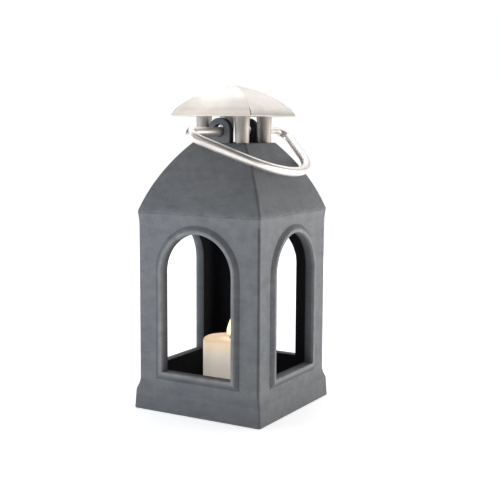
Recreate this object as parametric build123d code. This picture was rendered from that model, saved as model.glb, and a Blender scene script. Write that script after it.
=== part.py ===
"""Candle lantern: a stoneware body with four arched windows, a domed metal cap on four legs,
a swinging bar handle and a pillar candle. Millimetres, +Z up, origin at the middle of the base."""
from build123d import *
from math import acos, cos, degrees, radians, sin
import os

# Body
WALL_HALF = 75.0            # half the width across the walls
WALL_THICKNESS = 8.0
BASE_HALF = 79.5            # half the width of the plinth at the floor
PLINTH_HALF = 78.3          # half the width at the top of the plinth
PLINTH_HEIGHT = 21.5
COVE_TOP = 36.0             # where the cove above the plinth meets the wall
FLARE_START = 198.0         # where the wall begins to spread towards the eave
EAVE_HALF = 76.3
EAVE_HEIGHT = 216.0
DECK_HALF = 33.4            # half the width of the flat deck on top
DECK_HEIGHT = 289.6
ROOF_SAGITTA = 4.6          # how far the roof bulges beyond a straight slope
CORNER_RADIUS = 3.0
PROFILE_RADIUS = 6.0
DECK_EDGE_RADIUS = 2.0
FOOT_EDGE_RADIUS = 1.2
FLOOR_TOP = 14.0
CEILING_HALF = 30.0
CEILING_HEIGHT = 279.6
CAVITY_SHOULDER = 206.0
CAVITY_SAGITTA = 4.0
CHIMNEY_RADIUS = 21.0

# Windows, one in each wall, with a raised moulding round each
WINDOW_HALF = 43.0
SILL_HEIGHT = 44.5
SPRING_HEIGHT = 152.5       # where the straight jambs end and the half-round arch begins
MOULDING_FACE = 4.2         # width of the flat face round the opening
MOULDING_PROUD = 3.5        # how far that face stands out from the wall
MOULDING_SLOPE = 4.1        # width of the sloping flank outside it
MOULDING_ROOT = 1.0         # how deep the moulding is rooted in the wall
OPENING_EDGE_RADIUS = 1.2
MOULDING_EDGE_RADIUS = 0.8

# Ears that carry the handle
EAR_RADIUS = 13.4
EAR_CENTRE_HEIGHT = 302.8
EAR_OUTER_FACE = 32.6
EAR_THICKNESS = 8.6
EAR_HOLE_RADIUS = 6.8
EAR_ROOT = 6.0
EAR_EDGE_RADIUS = 0.9

# Cap legs and the screws that tie cap, legs and body together
LEG_FOOT_OFFSET = 24.2      # from the middle planes to the middle of a leg's foot
LEG_FOOT_RADIUS = 7.3
LEG_HEAD_OFFSET = 23.7
LEG_HEAD_RADIUS = 8.4
LEG_TOP_HEIGHT = 321.0
SCREW_OFFSET = 24.0
SCREW_RADIUS = 2.5
SCREW_HOLE_RADIUS = 2.75
SCREW_HEAD_RADIUS = 4.25
SCREW_HEAD_HEIGHT = 5.0
SCREW_SOCKET_RADIUS = 2.0
SCREW_SOCKET_DEPTH = 2.5
SCREW_TIP_HEIGHT = 329.0
WASHER_RADIUS = 5.0
WASHER_THICKNESS = 1.0

# Cap, whose outline is a short upright rim, a shoulder arc and a crown arc
CAP_HALF = 49.5
CAP_RIM_HEIGHT = 317.8
CAP_RIM_DEPTH = 0.7
CAP_RIM_ANGLE = 16.0        # how far the surface faces upwards where it leaves the rim
CAP_SHOULDER_ANGLE = 45.0   # the same where shoulder and crown meet
CAP_SHOULDER_RADIUS = 22.0
CAP_CROWN_RADIUS = 85.0
CAP_THICKNESS = 2.4
CAP_HIP_RADIUS = 1.2
BOSS_TOP = 352.0            # above the cap, so that the bosses reach its underside everywhere

# Handle
BAR_RADIUS = 5.1
PIVOT_HEIGHT = 301.5
HANDLE_SHIFT = 4.7          # the handle has slid this far along its holes, towards +Y
HANDLE_REST_ANGLE = 29.2    # below level, lying towards +X
HANDLE_PIN_END = 17.0       # inner ends of the two pins, from the handle's middle
HANDLE_CORNER = 110.5       # where pin and strand would cross
HANDLE_REACH_CORNER = 129.5
HANDLE_BEND_RADIUS = 11.0
HANDLE_BOW_RADIUS = 81.5
HANDLE_END_RADIUS = 1.0

# Candle
CANDLE_RADIUS = 30.0
CANDLE_HEIGHT = 60.0
CANDLE_X = -2.3
CANDLE_Y = -4.0
CANDLE_EDGE_RADIUS = 1.5
POOL_RADIUS = 21.0
POOL_DEPTH = 2.0
WICK_RADIUS = 1.1
WICK_TOP = 9.0              # above the pool
WICK_ROOT = 12.0            # below the pool

SPAN = 100.0                # longer than any half width, for extruding profiles
TINY = 0.01


def crossed(profile):
    """The volume that has this profile both from the front and from the side."""
    along_y = extrude(Plane.XZ.offset(SPAN) * profile, amount=-2 * SPAN)
    return along_y & along_y.rotate(Axis.Z, 90)


def corners_at(sketch, height):
    """The sketch's two corners at this height, one on each side."""
    return [corner for corner in sketch.vertices() if abs(corner.Y - height) < TINY and abs(corner.X) > 1]


def outer_profile():
    plinth_top = (PLINTH_HALF, PLINTH_HEIGHT)
    wall_top = (WALL_HALF, FLARE_START)
    eave = (EAVE_HALF, EAVE_HEIGHT)
    with BuildSketch() as sketch:
        with BuildLine():
            Polyline((0, 0), (BASE_HALF, 0), plinth_top)
            TangentArc((WALL_HALF, COVE_TOP), plinth_top, tangent=(0, -1))
            Line((WALL_HALF, COVE_TOP), wall_top)
            TangentArc(wall_top, eave, tangent=(0, 1))
            SagittaArc(eave, (DECK_HALF, DECK_HEIGHT), -ROOF_SAGITTA)
            Line((DECK_HALF, DECK_HEIGHT), (0, DECK_HEIGHT))
            mirror(about=Plane.YZ)
        make_face()
        fillet(corners_at(sketch, PLINTH_HEIGHT), PROFILE_RADIUS)
        fillet(corners_at(sketch, EAVE_HEIGHT), PROFILE_RADIUS)
    return sketch.sketch


def cavity_profile():
    inner = WALL_HALF - WALL_THICKNESS
    with BuildSketch() as sketch:
        with BuildLine():
            Polyline((0, FLOOR_TOP), (inner, FLOOR_TOP), (inner, CAVITY_SHOULDER))
            SagittaArc((inner, CAVITY_SHOULDER), (CEILING_HALF, CEILING_HEIGHT), -CAVITY_SAGITTA)
            Line((CEILING_HALF, CEILING_HEIGHT), (0, CEILING_HEIGHT))
            mirror(about=Plane.YZ)
        make_face()
    return sketch.sketch


def arch(margin):
    """The window's outline, enlarged all round by a margin."""
    half = WINDOW_HALF + margin
    with BuildSketch() as sketch:
        with BuildLine():
            Line((-half, SILL_HEIGHT - margin), (half, SILL_HEIGHT - margin))
            Line((half, SILL_HEIGHT - margin), (half, SPRING_HEIGHT))
            ThreePointArc((half, SPRING_HEIGHT), (0, SPRING_HEIGHT + half), (-half, SPRING_HEIGHT))
            Line((-half, SPRING_HEIGHT), (-half, SILL_HEIGHT - margin))
        make_face()
    return sketch.sketch


def moulding():
    """The raised frame of the front window, still without its opening."""
    slope = MOULDING_SLOPE / MOULDING_PROUD
    root_margin = MOULDING_FACE + MOULDING_SLOPE + MOULDING_ROOT * slope
    wall_plane = Plane.XZ.offset(WALL_HALF)
    root = wall_plane.offset(-MOULDING_ROOT) * arch(root_margin)
    face = wall_plane.offset(MOULDING_PROUD) * arch(MOULDING_FACE)
    return loft([root.faces()[0], face.faces()[0]], ruled=True)


def ear():
    """The ear above the front edge of the deck, with its handle hole."""
    with BuildSketch() as sketch:
        with Locations((0, EAR_CENTRE_HEIGHT)):
            Circle(EAR_RADIUS)
        stem = EAR_CENTRE_HEIGHT - DECK_HEIGHT + EAR_ROOT
        with Locations((0, EAR_CENTRE_HEIGHT - stem / 2)):
            Rectangle(2 * EAR_RADIUS, stem)
        with Locations((0, EAR_CENTRE_HEIGHT)):
            Circle(EAR_HOLE_RADIUS, mode=Mode.SUBTRACT)
    plate = extrude(Plane.XZ.offset(EAR_OUTER_FACE) * sketch.sketch, amount=-EAR_THICKNESS)
    faces = plate.faces().filter_by(Axis.Y)
    rounded = [edge for face in faces for edge in face.edges() if edge.bounding_box().max.Z > DECK_HEIGHT]
    return fillet(rounded, EAR_EDGE_RADIUS)


def at_height(edge, height):
    """Whether the whole edge lies at this height."""
    box = edge.bounding_box()
    return abs(box.min.Z - height) < TINY and abs(box.max.Z - height) < TINY


def on_hip(edge):
    """Whether the edge runs along one of the body's four upright corners or hips."""
    middle = edge.center()
    return abs(abs(middle.X) - abs(middle.Y)) < 0.5 and abs(middle.X) > CHIMNEY_RADIUS


def outer_shell():
    """The solid outer form: plinth, walls and curved roof, with softened corners."""
    form = crossed(outer_profile())
    form = fillet([edge for edge in form.edges() if on_hip(edge)], CORNER_RADIUS)
    form = fillet([edge for edge in form.edges() if at_height(edge, DECK_HEIGHT)], DECK_EDGE_RADIUS)
    return fillet([edge for edge in form.edges() if at_height(edge, 0)], FOOT_EDGE_RADIUS)


def facing_edges(body):
    """The edges of the four mouldings' flat faces: round each opening, and round each outside."""
    face = WALL_HALF + MOULDING_PROUD
    inner = []
    outer = []
    for edge in body.edges():
        box = edge.bounding_box()
        flat_x = box.max.X - box.min.X < TINY and abs(abs(box.min.X) - face) < TINY
        flat_y = box.max.Y - box.min.Y < TINY and abs(abs(box.min.Y) - face) < TINY
        if not (flat_x or flat_y):
            continue
        middle = edge @ 0.5
        sideways = abs(middle.Y) if flat_x else abs(middle.X)
        top = SPRING_HEIGHT + WINDOW_HALF
        within = sideways < WINDOW_HALF + TINY and SILL_HEIGHT - TINY < middle.Z < top + TINY
        (inner if within else outer).append(edge)
    return inner, outer


def around(shape, count=4):
    """Copies of a shape turned about the upright axis."""
    return [shape.rotate(Axis.Z, 360 / count * turn) for turn in range(count)]


def disc(radius, bottom, top, x=0.0, y=0.0):
    """An upright cylinder between two heights."""
    return Pos(x, y, (bottom + top) / 2) * Cylinder(radius, top - bottom)


def corner_points(offset):
    """The four corners of a square, anticlockwise from the front right."""
    return [(offset, -offset), (offset, offset), (-offset, offset), (-offset, -offset)]


def lantern_body():
    """One stoneware piece: floor, four walls, roof, deck and the two ears."""
    body = outer_shell()
    body -= crossed(cavity_profile())
    body += around(moulding())
    body += around(ear(), count=2)
    through = extrude(Plane.XZ.offset(SPAN) * arch(0), amount=-2 * SPAN)
    body -= [through, through.rotate(Axis.Z, 90)]
    body = fillet(facing_edges(body)[0], OPENING_EDGE_RADIUS)
    body = fillet(facing_edges(body)[1], MOULDING_EDGE_RADIUS)
    body -= disc(CHIMNEY_RADIUS, CEILING_HEIGHT - 1, DECK_HEIGHT + 1)
    for x, y in corner_points(SCREW_OFFSET):
        body -= disc(SCREW_HOLE_RADIUS, CEILING_HEIGHT - 1, DECK_HEIGHT + 1, x, y)
    return body


def cap_leg(x_side, y_side):
    """A round leg in one corner of the deck, thicker towards the cap and bored for its screw."""
    foot_place = Pos(x_side * LEG_FOOT_OFFSET, y_side * LEG_FOOT_OFFSET, DECK_HEIGHT)
    head_place = Pos(x_side * LEG_HEAD_OFFSET, y_side * LEG_HEAD_OFFSET, LEG_TOP_HEIGHT)
    leg = loft([foot_place * Circle(LEG_FOOT_RADIUS), head_place * Circle(LEG_HEAD_RADIUS)])
    hole_x = x_side * SCREW_OFFSET
    hole_y = y_side * SCREW_OFFSET
    return leg - disc(SCREW_HOLE_RADIUS, DECK_HEIGHT - 1, LEG_TOP_HEIGHT + 1, hole_x, hole_y)


def polar(centre, radius, angle):
    """The point at this distance from a centre, at an angle in degrees above level."""
    return centre[0] + radius * cos(radians(angle)), centre[1] + radius * sin(radians(angle))


def dome_profile(inset):
    """The cap's outline from the side, drawn in by an inset and filled down to the rim."""
    rim_top = (CAP_HALF, CAP_RIM_HEIGHT + CAP_RIM_DEPTH)
    shoulder_centre = polar(rim_top, -CAP_SHOULDER_RADIUS, CAP_RIM_ANGLE)
    crown_centre = polar(shoulder_centre, CAP_SHOULDER_RADIUS - CAP_CROWN_RADIUS, CAP_SHOULDER_ANGLE)
    shoulder_radius = CAP_SHOULDER_RADIUS - inset
    crown_radius = CAP_CROWN_RADIUS - inset
    apex_angle = degrees(acos(-crown_centre[0] / crown_radius))
    start = polar(shoulder_centre, shoulder_radius, CAP_RIM_ANGLE)
    middle = polar(shoulder_centre, shoulder_radius, (CAP_RIM_ANGLE + CAP_SHOULDER_ANGLE) / 2)
    join = polar(shoulder_centre, shoulder_radius, CAP_SHOULDER_ANGLE)
    crown_middle = polar(crown_centre, crown_radius, (CAP_SHOULDER_ANGLE + apex_angle) / 2)
    apex = polar(crown_centre, crown_radius, apex_angle)
    with BuildSketch() as sketch:
        with BuildLine():
            Polyline((0, CAP_RIM_HEIGHT), (start[0], CAP_RIM_HEIGHT), start)
            ThreePointArc(start, middle, join)
            ThreePointArc(join, crown_middle, (0, apex[1]))
            mirror(about=Plane.YZ)
        make_face()
    return sketch.sketch


def chimney_cap():
    """A domed cover with four bosses inside for the screws."""
    dome = crossed(dome_profile(0))
    dome = fillet([edge for edge in dome.edges() if on_hip(edge)], CAP_HIP_RADIUS)
    hollow = crossed(dome_profile(CAP_THICKNESS))
    cap = dome - hollow
    for x, y in corner_points(LEG_HEAD_OFFSET):
        cap += disc(LEG_HEAD_RADIUS, LEG_TOP_HEIGHT, BOSS_TOP, x, y) & crossed(dome_profile(CAP_THICKNESS / 2))
    for x, y in corner_points(SCREW_OFFSET):
        cap -= disc(SCREW_RADIUS, LEG_TOP_HEIGHT - 1, SCREW_TIP_HEIGHT, x, y)
    return cap


def tie_screw(x, y):
    """A socket screw that passes up through the deck and a leg into the cap."""
    head_top = CEILING_HEIGHT - WASHER_THICKNESS
    head_bottom = head_top - SCREW_HEAD_HEIGHT
    screw = disc(SCREW_HEAD_RADIUS, head_bottom, head_top, x, y)
    screw += disc(SCREW_RADIUS, head_top, SCREW_TIP_HEIGHT, x, y)
    return screw - disc(SCREW_SOCKET_RADIUS, head_bottom, head_bottom + SCREW_SOCKET_DEPTH, x, y)


def washer(x, y):
    ring = disc(WASHER_RADIUS, CEILING_HEIGHT - WASHER_THICKNESS, CEILING_HEIGHT, x, y)
    return ring - disc(SCREW_HOLE_RADIUS, CEILING_HEIGHT - WASHER_THICKNESS, CEILING_HEIGHT, x, y)


def handle():
    """A round bar bent to a bow, its ends turned in to run through the ears."""
    path = FilletPolyline(
        (0, -HANDLE_PIN_END),
        (0, -HANDLE_CORNER),
        (HANDLE_REACH_CORNER, 0),
        (0, HANDLE_CORNER),
        (0, HANDLE_PIN_END),
        radius=[HANDLE_BEND_RADIUS, HANDLE_BOW_RADIUS, HANDLE_BEND_RADIUS],
    )
    section = Plane(path @ 0, z_dir=path % 0) * Circle(BAR_RADIUS)
    bar = sweep(section, path=path)
    ends = bar.edges().filter_by(GeomType.CIRCLE).sort_by(lambda edge: abs(edge.center().Y))[:2]
    bar = fillet(ends, HANDLE_END_RADIUS)
    lying = bar.rotate(Axis.Y, HANDLE_REST_ANGLE)
    return Pos(0, HANDLE_SHIFT, PIVOT_HEIGHT) * lying


def candle_wax():
    """The pillar, with the shallow pool round its wick and the hole that the wick fills."""
    top = FLOOR_TOP + CANDLE_HEIGHT
    pillar = disc(CANDLE_RADIUS, FLOOR_TOP, top, CANDLE_X, CANDLE_Y)
    pillar = fillet(pillar.edges().filter_by(GeomType.CIRCLE), CANDLE_EDGE_RADIUS)
    pool_floor = top - POOL_DEPTH
    pillar -= disc(POOL_RADIUS, pool_floor, top + 1, CANDLE_X, CANDLE_Y)
    return pillar - disc(WICK_RADIUS, pool_floor - WICK_ROOT, top, CANDLE_X, CANDLE_Y)


def candle_wick():
    pool_floor = FLOOR_TOP + CANDLE_HEIGHT - POOL_DEPTH
    return disc(WICK_RADIUS, pool_floor - WICK_ROOT, pool_floor + WICK_TOP, CANDLE_X, CANDLE_Y)


def main():
    nodes = {
        "lantern_body": lantern_body(),
        "chimney_cap": chimney_cap(),
        "cap_leg_front_right": cap_leg(1, -1),
        "cap_leg_back_right": cap_leg(1, 1),
        "cap_leg_back_left": cap_leg(-1, 1),
        "cap_leg_front_left": cap_leg(-1, -1),
        "tie_screws": Compound([tie_screw(x, y) for x, y in corner_points(SCREW_OFFSET)]),
        "tie_screw_washers": Compound([washer(x, y) for x, y in corner_points(SCREW_OFFSET)]),
        "handle": handle(),
        "candle_wax": candle_wax(),
        "candle_wick": candle_wick(),
    }
    os.makedirs("parts", exist_ok=True)
    for name, shape in nodes.items():
        export_step(shape, f"parts/{name}.step")


if __name__ == "__main__":
    main()
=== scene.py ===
"""Looks of the candle lantern: materials, candle and flame, floor, lights and camera.
Metres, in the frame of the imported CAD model: +Z up, origin in the middle of the underside."""
from math import cos, pi, radians, sin

import bpy
import bmesh
from mathutils import Matrix, Vector, noise

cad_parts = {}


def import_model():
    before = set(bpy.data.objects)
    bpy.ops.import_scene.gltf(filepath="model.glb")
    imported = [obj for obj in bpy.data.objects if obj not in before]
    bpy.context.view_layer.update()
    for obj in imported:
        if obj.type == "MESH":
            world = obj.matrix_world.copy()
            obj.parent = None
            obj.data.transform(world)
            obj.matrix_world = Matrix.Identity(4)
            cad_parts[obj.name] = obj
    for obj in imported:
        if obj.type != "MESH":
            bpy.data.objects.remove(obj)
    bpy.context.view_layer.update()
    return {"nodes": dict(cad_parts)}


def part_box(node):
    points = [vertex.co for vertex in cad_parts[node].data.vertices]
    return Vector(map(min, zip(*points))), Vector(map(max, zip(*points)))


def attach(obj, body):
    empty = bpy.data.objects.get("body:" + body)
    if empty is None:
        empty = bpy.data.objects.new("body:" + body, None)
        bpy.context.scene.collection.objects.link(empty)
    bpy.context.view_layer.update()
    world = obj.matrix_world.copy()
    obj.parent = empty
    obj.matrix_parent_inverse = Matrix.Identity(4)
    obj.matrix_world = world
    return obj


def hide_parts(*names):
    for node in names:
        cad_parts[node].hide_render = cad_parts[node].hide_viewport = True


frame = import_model()
NODES = frame["nodes"]

# Camera
CAMERA_AZIMUTH = 30.06      # degrees, from straight in front towards the right
CAMERA_PITCH = 7.18         # degrees below level
CAMERA_ROLL = 0.33
CAMERA_DISTANCE = 1.09199   # from the lantern's axis, level
CAMERA_HEIGHT = 0.30904
CAMERA_SIDE = 0.01779
CAMERA_LENS = 71.6
SENSOR_WIDTH = 36.0


# ---------------------------------------------------------------- node helpers

class Graph:
    """A material's node tree, built from short calls."""

    def __init__(self, name):
        self.material = bpy.data.materials.new(name)
        self.material.use_nodes = True
        self.tree = self.material.node_tree
        self.shader = self.tree.nodes["Principled BSDF"]

    def add(self, kind, **settings):
        node = self.tree.nodes.new(kind)
        for name, value in settings.items():
            setattr(node, name, value)
        return node

    def link(self, source, target):
        self.tree.links.new(source, target)

    def place(self):
        """The point on the piece, in the piece's own frame."""
        return self.add("ShaderNodeTexCoord").outputs["Object"]

    def split(self):
        """That point's x, y and z."""
        node = self.add("ShaderNodeSeparateXYZ")
        self.link(self.place(), node.inputs["Vector"])
        return node.outputs["X"], node.outputs["Y"], node.outputs["Z"]

    def noise(self, scale, detail=4.0, roughness=0.5, stretch=None):
        """Smooth noise, scale in features per metre."""
        node = self.add("ShaderNodeTexNoise")
        node.inputs["Scale"].default_value = scale
        node.inputs["Detail"].default_value = detail
        node.inputs["Roughness"].default_value = roughness
        source = self.place()
        if stretch:
            mapping = self.add("ShaderNodeMapping")
            mapping.inputs["Scale"].default_value = stretch
            self.link(source, mapping.inputs["Vector"])
            source = mapping.outputs["Vector"]
        self.link(source, node.inputs["Vector"])
        return node.outputs["Fac"]

    def spots(self, scale):
        """Distance to the nearest of a scatter of points, scale in points per metre."""
        node = self.add("ShaderNodeTexVoronoi")
        node.inputs["Scale"].default_value = scale
        self.link(self.place(), node.inputs["Vector"])
        return node.outputs["Distance"]

    def remap(self, value, low, high, to_low=0.0, to_high=1.0, smooth=False):
        """Takes low to to_low and high to to_high, and stays level past both."""
        node = self.add("ShaderNodeMapRange")
        node.interpolation_type = "SMOOTHSTEP" if smooth else "LINEAR"
        for name, number in (("From Min", low), ("From Max", high), ("To Min", to_low), ("To Max", to_high)):
            node.inputs[name].default_value = number
        self.link(value, node.inputs["Value"])
        return node.outputs["Result"]

    def math(self, operation, *values):
        """A sum on one or two values, each a number or a socket."""
        node = self.add("ShaderNodeMath", operation=operation)
        for socket, value in zip(node.inputs, values):
            if isinstance(value, (int, float)):
                socket.default_value = value
            else:
                self.link(value, socket)
        return node.outputs["Value"]

    def fold(self, operation, values):
        """The same operation over any number of values, from the first on."""
        total = values[0]
        for value in values[1:]:
            total = self.math(operation, total, value)
        return total

    def plus(self, *values):
        return self.fold("ADD", values)

    def minus(self, first, second):
        return self.math("SUBTRACT", first, second)

    def times(self, *values):
        return self.fold("MULTIPLY", values)

    def most(self, *values):
        return self.fold("MAXIMUM", values)

    def size(self, value):
        return self.math("ABSOLUTE", value)

    def over(self, value, limit):
        """1 where the value is over the limit, otherwise 0."""
        return self.math("GREATER_THAN", value, limit)

    def under(self, value, limit):
        """1 where the value is under the limit, otherwise 0."""
        return self.math("LESS_THAN", value, limit)

    def radius(self, first, second):
        """How far the point with these two coordinates lies from the middle."""
        return self.math("SQRT", self.plus(self.times(first, first), self.times(second, second)))

    def mix(self, factor, first, second):
        """A colour between two colours, each a tuple or a socket."""
        node = self.add("ShaderNodeMix", data_type="RGBA")
        self.link(factor, node.inputs["Factor"])
        for name, value in (("A", first), ("B", second)):
            socket = [s for s in node.inputs if s.name == name and s.type == "RGBA"][0]
            if isinstance(value, tuple):
                socket.default_value = (*value, 1.0)
            else:
                self.link(value, socket)
        return [s for s in node.outputs if s.type == "RGBA"][0]

    def bump(self, height, depth, strength, onto=None):
        """Relief from a height of 0 to 1, depth in metres, over any relief given as onto."""
        node = self.add("ShaderNodeBump")
        node.inputs["Distance"].default_value = depth
        node.inputs["Strength"].default_value = strength
        self.link(height, node.inputs["Height"])
        if onto:
            self.link(onto, node.inputs["Normal"])
        return node.outputs["Normal"]

    def set(self, **values):
        """Sets the shader's own sockets, spaces written as underscores."""
        for name, value in values.items():
            socket = self.shader.inputs[name.replace("_", " ")]
            if isinstance(value, (int, float)):
                socket.default_value = value
            elif isinstance(value, tuple):
                socket.default_value = (*value, 1.0) if socket.type == "RGBA" else value
            else:
                self.link(value, socket)


# ---------------------------------------------------------------- stoneware

# Where the body's features lie. Reach is the larger of |x| and |y|, aside the smaller.
INNER_FACE = 0.067          # inner faces of the walls, from the middle
WALL_FACE = 0.075
ROOF_LEAN = 0.543           # how much nearer the middle the roof comes for each unit of height
SHOULDER = 0.206            # where the inside of the roof begins
CEILING = 0.2797
CAVITY_FOOT = 0.007         # below the inner floor's top, above the underside
EAVE = 0.2152
DECK = 0.2896
EAR_FACE = 0.0322           # just inside the ears' outer faces
WINDOW_HALF = 0.043
WINDOW_SILL = 0.0445
WINDOW_SPRING = 0.1525
MOULDING_FACE = 0.0042
MOULDING_ROOT = 0.0084      # from the opening to where moulding and wall meet
MOULDING_PROUD = 0.0018     # a height on the moulding, out from the wall, that only its face is past
HAIR = 0.0002               # enough to tell one flat face from the next

CLAY = (0.150, 0.163, 0.182)
CLAY_WARM = (0.172, 0.181, 0.186)
CLAY_CLOUD = (0.205, 0.213, 0.218)
CLAY_STREAK = (0.108, 0.115, 0.128)
CLAY_SAND = (0.105, 0.112, 0.125)
# Painted highlight: a lighter tone for the faces of the window mouldings
CLAY_PAINTED_HIGHLIGHT = (0.290, 0.296, 0.305)
# Painted shade: the dark tone laid in the creases beside the mouldings, at the upright corners and along the
# eave
CREASE_SHADE = (0.030, 0.033, 0.040)
# Near black: the inside of the body, and the painted shade on the reveals, under the cap, on the ears, the
# roof and the foot
BLACK_AND_PAINTED_SHADE = (0.0012, 0.0010, 0.0045)

# How much near-black painted shade each part gets, from 0 to 1
SHADE_REVEAL_INNER = 0.68
SHADE_REVEAL_OUTER = 0.38
SHADE_UNDER_CAP = 0.92
SHADE_EARS = 0.16
SHADE_ROOF = 0.24
SHADE_FOOT = 0.26

# How deep the painted shade lies in each place, from 0 to 1
CREASE_SHADE_FLANK = 0.35
CREASE_SHADE_ROOT = 0.62
CREASE_SHADE_CORNER = 0.22


def window_distance(g, aside, z):
    """How far a point of a wall lies outside the nearest window's outline."""
    above = g.minus(z, WINDOW_SPRING)
    past_arch = g.minus(g.radius(aside, above), WINDOW_HALF)
    past_jamb_or_sill = g.most(g.minus(aside, WINDOW_HALF), g.minus(WINDOW_SILL, z))
    return g.plus(g.times(g.over(above, 0.0), past_arch), g.times(g.under(above, 0.0), past_jamb_or_sill))


def band(g, value, middle, half_width):
    """1 at the middle, falling to 0 at half a width to either side."""
    return g.remap(g.size(g.minus(value, middle)), 0.0, half_width, 1.0, 0.0, smooth=True)


def clay(g, broad, cloudy, streaks, sand):
    """Cloudy firing under streaks and sand."""
    tone = g.mix(g.remap(broad, 0.35, 0.65, smooth=True), CLAY, CLAY_WARM)
    tone = g.mix(g.remap(cloudy, 0.38, 0.66, to_high=0.9), tone, CLAY_CLOUD)
    tone = g.mix(g.remap(streaks, 0.50, 0.68, to_high=0.5), tone, CLAY_STREAK)
    return g.mix(g.remap(sand, 0.30, 0.75, to_high=0.5), tone, CLAY_SAND)


def painted_moulding_highlight(g, outside, reach, cloudy):
    """Painted highlight on the face of a window's moulding, strongest near its middle."""
    middle, half_width = 0.0014, 0.0034
    highlit = g.times(band(g, outside, middle, half_width), g.over(reach, WALL_FACE + MOULDING_PROUD))
    return g.times(highlit, g.remap(cloudy, 0.35, 0.65, 0.25, 0.75))


def crease_shade_depth(g, outside, reach, aside, z, cloudy, streaks):
    """Painted shade beside the mouldings, down the upright corners and along the eave."""
    flank_middle = (MOULDING_FACE + MOULDING_ROOT) / 2 + 0.0006
    flank_half, root_half = 0.0034, 0.0016
    corner_width, eave_half, raggedness = 0.0022, 0.0011, 0.0008
    flank = g.times(band(g, outside, flank_middle, flank_half), CREASE_SHADE_FLANK)
    root = g.times(band(g, outside, MOULDING_ROOT, root_half), CREASE_SHADE_ROOT)
    crease = g.times(g.most(flank, root), g.over(reach, WALL_FACE - 0.0005))
    corner = g.remap(g.minus(reach, aside), HAIR, corner_width, CREASE_SHADE_CORNER, 0.0, smooth=True)
    ragged = g.plus(z, g.remap(cloudy, 0.3, 0.7, -raggedness, raggedness))
    under_eave = g.times(band(g, ragged, EAVE, eave_half), g.remap(streaks, 0.35, 0.65, 0.15, 0.60))
    return g.times(g.most(crease, corner, under_eave), g.remap(cloudy, 0.25, 0.75, 1.0, 0.75))


def black_inside_shaded_reveals(g, reach, z):
    """Full black on the inner faces and floor, and painted shade on the reveals of the windows, fading
    outwards; none outside.
    """
    turn = 0.002
    lean = g.times(g.most(g.minus(z, SHOULDER), 0.0), ROOF_LEAN)
    depth = g.plus(reach, lean)
    inner = g.remap(depth, INNER_FACE, INNER_FACE + turn, 1.0, 0.0, smooth=True)
    reveal = g.remap(depth, INNER_FACE + turn, WALL_FACE, SHADE_REVEAL_INNER, SHADE_REVEAL_OUTER)
    within = g.times(g.under(depth, WALL_FACE - HAIR / 2), g.under(z, CEILING), g.over(z, CAVITY_FOOT))
    return g.times(g.most(inner, reveal), within)


def painted_shade_outside(g, reach, z):
    """Painted shade: black between the ears under the cap, a darker tone on the ears and the roof, and a
    darker foot of the plinth.
    """
    ear_blend, roof_blend, foot_low, foot_high = 0.0022, 0.008, 0.006, 0.036
    under_cap = g.remap(reach, EAR_FACE - ear_blend, EAR_FACE, SHADE_UNDER_CAP, 0.0, smooth=True)
    under_cap = g.times(under_cap, g.over(z, DECK - HAIR))
    ears = g.times(g.over(z, DECK + 0.0005), SHADE_EARS)
    roof = g.remap(z, EAVE, EAVE + roof_blend, 0.0, SHADE_ROOF, smooth=True)
    foot = g.remap(z, foot_low, foot_high, SHADE_FOOT, 0.0, smooth=True)
    return g.most(under_cap, ears, roof, foot)


def stoneware():
    """Dark blue-grey unglazed body: fine sand, cloudy firing, black inside, painted shade in its creases,
    under the cap, on the roof and at the foot, and a painted highlight on the moulding faces.
    """
    g = Graph("stoneware")
    x, y, z = g.split()
    reach = g.most(g.size(x), g.size(y))
    aside = g.math("MINIMUM", g.size(x), g.size(y))
    outside = window_distance(g, aside, z)
    broad = g.noise(14, 3, 0.55)
    cloudy = g.noise(75, 5, 0.62)
    streaks = g.noise(110, 4, 0.6, stretch=(0.35, 0.35, 1.0))
    sand = g.noise(900, 3, 0.7)

    tone = clay(g, broad, cloudy, streaks, sand)
    # Painted highlight on the faces of the mouldings
    tone = g.mix(painted_moulding_highlight(g, outside, reach, cloudy), tone, CLAY_PAINTED_HIGHLIGHT)
    # Painted shade in the creases, at the corners and along the eave
    tone = g.mix(crease_shade_depth(g, outside, reach, aside, z, cloudy, streaks), tone, CREASE_SHADE)
    # Black inside, and painted shade on the reveals, under the cap, on the ears, the roof and the foot
    black_and_shade = g.most(black_inside_shaded_reveals(g, reach, z), painted_shade_outside(g, reach, z))
    tone = g.mix(black_and_shade, tone, BLACK_AND_PAINTED_SHADE)
    roughness = g.most(g.remap(sand, 0.2, 0.8, 0.48, 0.70), black_and_shade)

    chipped_eave = g.times(band(g, z, EAVE, 0.0060), g.noise(260, 4, 0.6))
    pits = g.remap(g.spots(420), 0.0, 0.35)
    relief = None
    for height, depth, strength in (
        (broad, 0.0030, 0.55),
        (cloudy, 0.0016, 0.7),
        (streaks, 0.0008, 0.6),
        (chipped_eave, 0.0014, 0.8),
        (sand, 0.00025, 0.6),
        (pits, 0.00015, 0.5),
    ):
        relief = g.bump(height, depth, strength, relief)
    g.set(Base_Color=tone, Roughness=roughness, Specular_IOR_Level=0.45, Normal=relief)
    return g.material


# ---------------------------------------------------------------- metals

CAP_SILVER = (0.69, 0.65, 0.615)
LEG_SILVER = (0.52, 0.48, 0.45)
HANDLE_SILVER = (0.86, 0.82, 0.785)
SCREW_STEEL = (0.52, 0.52, 0.53)
EVEN = (1, 1, 1)            # grain with no direction
DRAWN = (1, 1, 0.15)        # grain drawn out upwards
TURNED = (1, 1, 3)          # grain drawn out round an upright axis


def shaded(colour, share):
    return tuple(share * part for part in colour)


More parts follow.
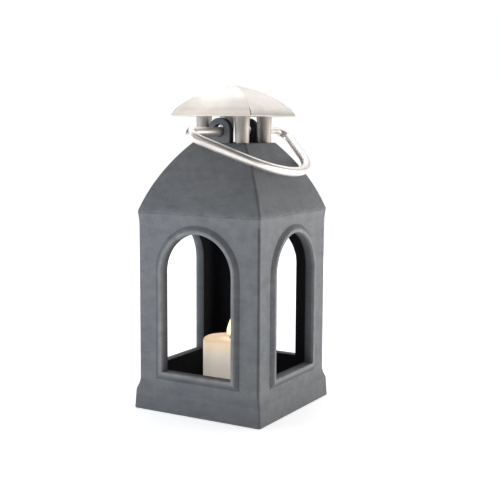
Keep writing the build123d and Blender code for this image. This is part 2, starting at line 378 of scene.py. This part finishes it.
def satin_metal(name, colour, roughness, grain, wave, stain):
    """Blasted or brushed metal: fine grain, slow change of gloss, slight waviness, a few dull marks."""
    g = Graph(name)
    fine = g.noise(1400, 3, 0.65, stretch=grain)
    slow = g.noise(35, 4, 0.55)
    marks = g.noise(260, 5, 0.6, stretch=grain)
    tone = g.mix(g.remap(slow, 0.35, 0.7), colour, shaded(colour, 0.86))
    tone = g.mix(g.remap(marks, 0.50, 0.72, to_high=stain), tone, shaded(colour, 0.35))
    fine_gloss = g.remap(fine, 0.2, 0.8, -0.06, 0.06)
    slow_gloss = g.remap(slow, 0.3, 0.7, roughness - 0.04, roughness + 0.04)
    relief = g.bump(slow, wave, 0.5)
    relief = g.bump(fine, 0.00004, 0.5, relief)
    g.set(Base_Color=tone, Metallic=1.0, Roughness=g.plus(fine_gloss, slow_gloss), Normal=relief)
    return g.material


# ---------------------------------------------------------------- candle and fire

WAX_DULL = (0.66, 0.62, 0.56)
WAX_CLEAR = (0.72, 0.68, 0.62)
# Painted glow: the wax's emission stands in for the flame's light shining through it
GLOW_PALE = (1.0, 0.90, 0.78)
GLOW_WARM = (1.0, 0.70, 0.42)
GLOW_FOOT = 0.32            # emission at the candle's foot
GLOW_TOP = 0.42
GLOW_RIM = 0.14             # more of it close under the rim
GLOW_POOL = 0.60            # and more again in the pool, round the wick
WARM_DEPTH = 0.022          # how far down the warm light shows
POOL_REACH = 0.020
POOL_DEPTH = 0.0045
COTTON_DARK = (0.55, 0.47, 0.36)
COTTON_PALE = (0.70, 0.63, 0.50)
CHAR = (0.012, 0.010, 0.009)
CHAR_TOP = 0.0055           # all charred above here, measured down from the wick's tip
CHAR_FOOT = 0.0085
FIRE = (                    # share of the flame's height, colour
    (0.0, (0.45, 0.40, 0.75)),
    (0.10, (1.0, 0.60, 0.28)),
    (0.28, (1.0, 0.86, 0.60)),
    (0.7, (1.0, 0.84, 0.56)),
    (1.0, (1.0, 0.70, 0.36)),
)
FIRE_DIM = 0.7
FIRE_BRIGHT = 1.7


def wax():
    """Ivory candle wax, faintly mottled, with a painted glow: emission that stands in for the flame's light
    shining through the wax from the top down.
    """
    g = Graph("wax")
    x, y, z = g.split()
    low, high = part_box("candle_wax")
    cloud = g.noise(55, 4, 0.5)
    warm = g.remap(z, high.z - WARM_DEPTH, high.z, smooth=True)
    from_wick = g.radius(g.minus(x, (low.x + high.x) / 2), g.minus(y, (low.y + high.y) / 2))
    pool = g.times(g.remap(from_wick, 0.0, POOL_REACH, 1.0, 0.0), g.over(z, high.z - POOL_DEPTH))
    pool = g.math("POWER", pool, 1.6)
    pillar_glow = g.remap(z, low.z, high.z, GLOW_FOOT, GLOW_TOP)
    g.set(
        Base_Color=g.mix(g.remap(cloud, 0.3, 0.7), WAX_DULL, WAX_CLEAR),
        Roughness=g.remap(cloud, 0.2, 0.8, 0.38, 0.55),
        Subsurface_Weight=0.5,
        Subsurface_Radius=(1.0, 0.55, 0.30),
        Subsurface_Scale=0.010,
        Emission_Color=g.mix(warm, GLOW_PALE, GLOW_WARM),
        Emission_Strength=g.plus(pillar_glow, g.times(warm, GLOW_RIM), g.times(pool, GLOW_POOL)),
        Normal=g.bump(cloud, 0.0004, 0.4),
    )
    return g.material


def charred_cotton():
    """Wick: twisted pale cotton, black where it has burnt."""
    g = Graph("wick")
    z = g.split()[2]
    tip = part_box("candle_wick")[1].z
    burnt = g.remap(z, tip - CHAR_FOOT, tip - CHAR_TOP, smooth=True)
    strand = g.noise(1800, 2, 0.5, stretch=(1, 1, 0.35))
    cotton = g.mix(g.remap(strand, 0.3, 0.7), COTTON_DARK, COTTON_PALE)
    g.set(Base_Color=g.mix(burnt, cotton, CHAR), Roughness=0.9, Normal=g.bump(strand, 0.0002, 0.8))
    return g.material


def fire(base_z, tip_z):
    """Flame: clear blue foot, then yellow-white, a little more orange at the tip."""
    g = Graph("flame")
    up = g.remap(g.split()[2], base_z, tip_z)
    ramp = g.add("ShaderNodeValToRGB")
    stops = ramp.color_ramp.elements
    for position, colour in FIRE[1:-1]:
        stops.new(position)
    for stop, (position, colour) in zip(stops, FIRE):
        stop.color = (*colour, 1.0)
    g.link(up, ramp.inputs["Fac"])
    g.set(
        Base_Color=(0.0, 0.0, 0.0),
        Roughness=1.0,
        Specular_IOR_Level=0.0,
        Emission_Color=ramp.outputs["Color"],
        Emission_Strength=g.remap(up, 0.0, 0.3, FIRE_DIM, FIRE_BRIGHT, smooth=True),
    )
    return g.material


# ---------------------------------------------------------------- new pieces

def mesh_object(name, bm, material):
    mesh = bpy.data.meshes.new(name)
    bm.normal_update()
    bm.to_mesh(mesh)
    bm.free()
    for face in mesh.polygons:
        face.use_smooth = True
    mesh.materials.append(material)
    piece = bpy.data.objects.new(name, mesh)
    bpy.context.scene.collection.objects.link(piece)
    return piece


def skin(bm, rings):
    """Joins each ring of points to the next and closes both ends."""
    count = len(rings[0])
    for lower, upper in zip(rings, rings[1:]):
        for step in range(count):
            following = (step + 1) % count
            bm.faces.new((lower[step], lower[following], upper[following], upper[step]))
    bm.faces.new(list(reversed(rings[0])))
    bm.faces.new(rings[-1])


def lathe(centre, outline, segments, wobble=None):
    """A closed form turned from an outline of (radius, height) about an upright axis."""
    bm = bmesh.new()
    rings = []
    for radius, height in outline:
        ring = []
        for step in range(segments):
            turn = 2 * pi * step / segments
            r, h = wobble(radius, height, turn) if wobble else (radius, height)
            ring.append(bm.verts.new((centre.x + r * cos(turn), centre.y + r * sin(turn), h)))
        rings.append(ring)
    skin(bm, rings)
    return bm


# The pillar's outline: its foot as (in from the side, up from the foot), its rim as (in from the
# side, down from the top), and in between and in the pool as shares of its height and radius
PILLAR_FOOT = ((0.0030, 0.0), (0.0008, 0.0006), (0.0, 0.0024))
PILLAR_SIDE = (0.2, 0.4, 0.6, 0.8, 0.9)
PILLAR_RIM = (
    (0.0001, 0.0035), (0.0007, 0.0014), (0.0022, 0.0003),
    (0.0040, 0.0002), (0.0062, 0.0010), (0.0082, 0.0018))
PILLAR_POOL = (0.6, 0.4, 0.2, 0.08)
POOL_DROP = 0.0021
SOFT_DEPTH = 0.012          # how far down from the top the heat has softened the wax
SOFT_SAG = 0.0011           # the most that its rim has sunk
SIDE_WAVE = 0.004           # unevenness of the side, as a share of the radius
PILLAR_SEGMENTS = 128


def melted_wax(material):
    """The pillar with a rim softened by the heat and a shallow pool round the wick."""
    low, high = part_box("candle_wax")
    radius = (high.x - low.x) / 2
    top = high.z
    outline = [(radius - inwards, low.z + up) for inwards, up in PILLAR_FOOT]
    outline += [(radius, low.z + share * (top - low.z)) for share in PILLAR_SIDE]
    outline += [(radius - inwards, top - down) for inwards, down in PILLAR_RIM]
    outline += [(radius * share, top - POOL_DROP) for share in PILLAR_POOL]

    def wobble(r, h, turn):
        near_top = max(0.0, (h - (top - SOFT_DEPTH)) / SOFT_DEPTH)
        soft = noise.noise(Vector((cos(turn) * 1.3, sin(turn) * 1.3, h * 60)))
        sag = SOFT_SAG * near_top * (0.5 + 0.5 * soft) * (r > radius / 2)
        return r * (1 - SIDE_WAVE * abs(soft)), h - sag

    return mesh_object("pillar_candle", lathe((low + high) / 2, outline, PILLAR_SEGMENTS, wobble), material)


WICK_STEPS = 24
WICK_SIDES = 18
WICK_GIRTH = 0.92           # shares of the CAD wick's radius and length
WICK_LENGTH = 0.985
WICK_BEND = 0.0016          # how far its tip leans each way
WICK_BEND_FROM = 0.6        # share of its length that stays straight
WICK_TAPER_FROM = 0.93
WICK_TAPER = 0.45
STRAND_DEPTH = 0.16         # share of the radius
STRAND_TWIST = 9.0          # radians from foot to tip


def burnt_wick(material):
    """A wick that leans and curls at its charred end."""
    low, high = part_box("candle_wick")
    centre = (low + high) / 2
    radius = WICK_GIRTH * (high.x - low.x) / 2
    length = WICK_LENGTH * (high.z - low.z)
    bm = bmesh.new()
    rings = []
    for step in range(WICK_STEPS + 1):
        part = step / WICK_STEPS
        bend = WICK_BEND * (max(0.0, part - WICK_BEND_FROM) / (1 - WICK_BEND_FROM)) ** 2
        taper = 1 - WICK_TAPER * max(0.0, part - WICK_TAPER_FROM) / (1 - WICK_TAPER_FROM)
        ring = []
        for side in range(WICK_SIDES):
            turn = 2 * pi * side / WICK_SIDES
            strand = 1 - STRAND_DEPTH * abs(sin(1.5 * turn + STRAND_TWIST * part))
            r = radius * strand * taper
            x = centre.x + bend + r * cos(turn)
            y = centre.y - bend + r * sin(turn)
            ring.append(bm.verts.new((x, y, low.z + length * part)))
        rings.append(ring)
    skin(bm, rings)
    return mesh_object("burnt_wick", bm, material)


FLAME_HEIGHT = 0.0205
FLAME_RADIUS = 0.0042
FLAME_TIP_RADIUS = 0.00012
FLAME_DROP = 0.0068         # from the wick's tip down to where the flame begins
FLAME_LEAN = 0.0006
FLAME_STEPS = 28
FLAME_SEGMENTS = 32


def flame_radius(part):
    """A teardrop, widest at about a third of its height."""
    swell = sin(pi * part ** 0.62) ** 0.9 * (1 - 0.25 * part)
    return max(FLAME_TIP_RADIUS, FLAME_RADIUS * swell)


def flame():
    """A teardrop of light round the wick's tip."""
    low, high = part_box("candle_wick")
    centre = (low + high) / 2 + Vector((FLAME_LEAN, -FLAME_LEAN, 0))
    base = high.z - FLAME_DROP
    parts = [step / FLAME_STEPS for step in range(FLAME_STEPS + 1)]
    outline = [(flame_radius(part), base + FLAME_HEIGHT * part) for part in parts]
    return mesh_object("flame", lathe(centre, outline, FLAME_SEGMENTS), fire(base, base + FLAME_HEIGHT))


# ---------------------------------------------------------------- stage

FLOOR_HALF = 6.0
FLOOR_GAP = 0.0003          # below the lantern, so that the two faces don't flicker
FLOOR_GREY = (0.86, 0.86, 0.87)
FLOOR_GLOW = (0.20, 1.20, 0.58, 1.05)   # from near to far: two distances, and the emission at each


def floor():
    """A pale floor that brightens to the white of the background as it goes away."""
    bm = bmesh.new()
    corners = ((-1, -1), (1, -1), (1, 1), (-1, 1))
    bm.faces.new([bm.verts.new((x * FLOOR_HALF, y * FLOOR_HALF, 0)) for x, y in corners])
    g = Graph("floor")
    x, y = g.split()[:2]
    g.set(
        Base_Color=FLOOR_GREY,
        Roughness=0.9,
        Emission_Color=(1.0, 1.0, 1.0),
        Emission_Strength=g.remap(g.radius(x, y), *FLOOR_GLOW),
    )
    piece = mesh_object("studio_floor", bm, g.material)
    piece.location.z = -FLOOR_GAP


# Softboxes round the lantern: azimuth from the front towards the right, elevation and distance of
# the middle, width and height, radiance, colour
SOFTBOXES = {
    "right": (114, 5, 0.90, 0.80, 0.55, 3.3, (1.0, 0.985, 0.96)),
    "left": (303, 7, 0.90, 0.75, 0.55, 2.4, (0.74, 0.85, 1.0)),
    "left_front_high": (316, 42, 0.90, 0.45, 0.50, 1.8, (1.0, 0.96, 0.90)),
    "left_front_low": (338, 4, 0.90, 0.50, 0.40, 0.7, (1.0, 0.96, 0.90)),
    "front_high": (28, 38, 0.90, 0.70, 0.24, 1.3, (1.0, 0.98, 0.95)),
    "front_strip": (22, 60, 0.90, 0.80, 0.20, 0.9, (1.0, 0.98, 0.95)),
    "back": (178, 8, 1.15, 1.5, 0.7, 0.8, (1.0, 1.0, 1.0)),
    "back_high": (185, 48, 1.15, 1.5, 0.8, 1.65, (1.0, 0.99, 0.98)),
    "top_left": (255, 66, 1.0, 0.8, 0.7, 1.55, (1.0, 1.0, 1.0)),
}
LIT_POINT = Vector((0, 0, 0.17))
WORLD_LIGHT = 0.05


def softbox(name, azimuth, elevation, distance, width, height, radiance, colour):
    """A flat area light that faces the lantern and isn't seen itself."""
    azimuth, elevation = radians(azimuth), radians(elevation)
    level = cos(elevation)
    outward = Vector((sin(azimuth) * level, -cos(azimuth) * level, sin(elevation)))
    light = bpy.data.lights.new(name, "AREA")
    light.shape = "RECTANGLE"
    light.size = width
    light.size_y = height
    light.energy = pi * width * height * radiance
    light.color = colour
    lamp = bpy.data.objects.new(name, light)
    lamp.location = LIT_POINT + distance * outward
    lamp.rotation_euler = (-outward).to_track_quat("-Z", "Y").to_euler()
    lamp.visible_camera = False
    bpy.context.scene.collection.objects.link(lamp)


def world():
    """White to the eye all round, and next to no light of its own."""
    made = bpy.data.worlds.new("studio")
    made.use_nodes = True
    tree = made.node_tree
    dim = tree.nodes["Background"]
    dim.inputs["Strength"].default_value = WORLD_LIGHT
    seen = tree.nodes.new("ShaderNodeBackground")
    seen.inputs["Color"].default_value = (1, 1, 1, 1)
    path = tree.nodes.new("ShaderNodeLightPath")
    blend = tree.nodes.new("ShaderNodeMixShader")
    tree.links.new(path.outputs["Is Camera Ray"], blend.inputs["Fac"])
    tree.links.new(dim.outputs["Background"], blend.inputs[1])
    tree.links.new(seen.outputs["Background"], blend.inputs[2])
    tree.links.new(blend.outputs["Shader"], tree.nodes["World Output"].inputs["Surface"])
    bpy.context.scene.world = made
    bpy.context.scene.view_settings.view_transform = "Standard"


def camera():
    azimuth, pitch = radians(CAMERA_AZIMUTH), radians(CAMERA_PITCH)
    forward = Vector((-sin(azimuth), cos(azimuth), 0))
    right = Vector((cos(azimuth), sin(azimuth), 0))
    look = forward * cos(pitch) - Vector((0, 0, 1)) * sin(pitch)
    data = bpy.data.cameras.new("camera")
    data.lens = CAMERA_LENS
    data.sensor_width = SENSOR_WIDTH
    made = bpy.data.objects.new("camera", data)
    level_turn = look.to_track_quat("-Z", "Y").to_matrix().to_4x4()
    roll = Matrix.Rotation(radians(CAMERA_ROLL), 4, "Z")
    spot = -forward * CAMERA_DISTANCE + right * CAMERA_SIDE + Vector((0, 0, CAMERA_HEIGHT))
    made.matrix_world = Matrix.Translation(spot) @ level_turn @ roll
    bpy.context.scene.collection.objects.link(made)
    bpy.context.scene.camera = made


# ---------------------------------------------------------------- build

def dress(node_names, material):
    """Gives each CAD node's whole surface one material."""
    for name in node_names:
        mesh = NODES[name].data
        mesh.materials.clear()
        mesh.materials.append(material)


LEGS = [f"cap_leg_{corner}" for corner in ("front_right", "back_right", "back_left", "front_left")]

dress(["lantern_body"], stoneware())
dress(["chimney_cap"], satin_metal("cap_metal", CAP_SILVER, 0.42, EVEN, wave=0.0004, stain=0.03))
dress(LEGS, satin_metal("leg_metal", LEG_SILVER, 0.62, DRAWN, wave=0.0003, stain=0.50))
dress(["handle"], satin_metal("handle_steel", HANDLE_SILVER, 0.42, EVEN, wave=0.0002, stain=0.15))
dress(
    ["tie_screws", "tie_screw_washers"],
    satin_metal("screw_steel", SCREW_STEEL, 0.42, TURNED, wave=0.0001, stain=0.20))

candle = melted_wax(wax())
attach(candle, "candle")
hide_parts("candle_wax")
wick = burnt_wick(charred_cotton())
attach(wick, "candle")
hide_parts("candle_wick")
light_of_candle = flame()
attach(light_of_candle, "candle")

floor()
world()
for box_name, settings in SOFTBOXES.items():
    softbox(box_name, *settings)
camera()
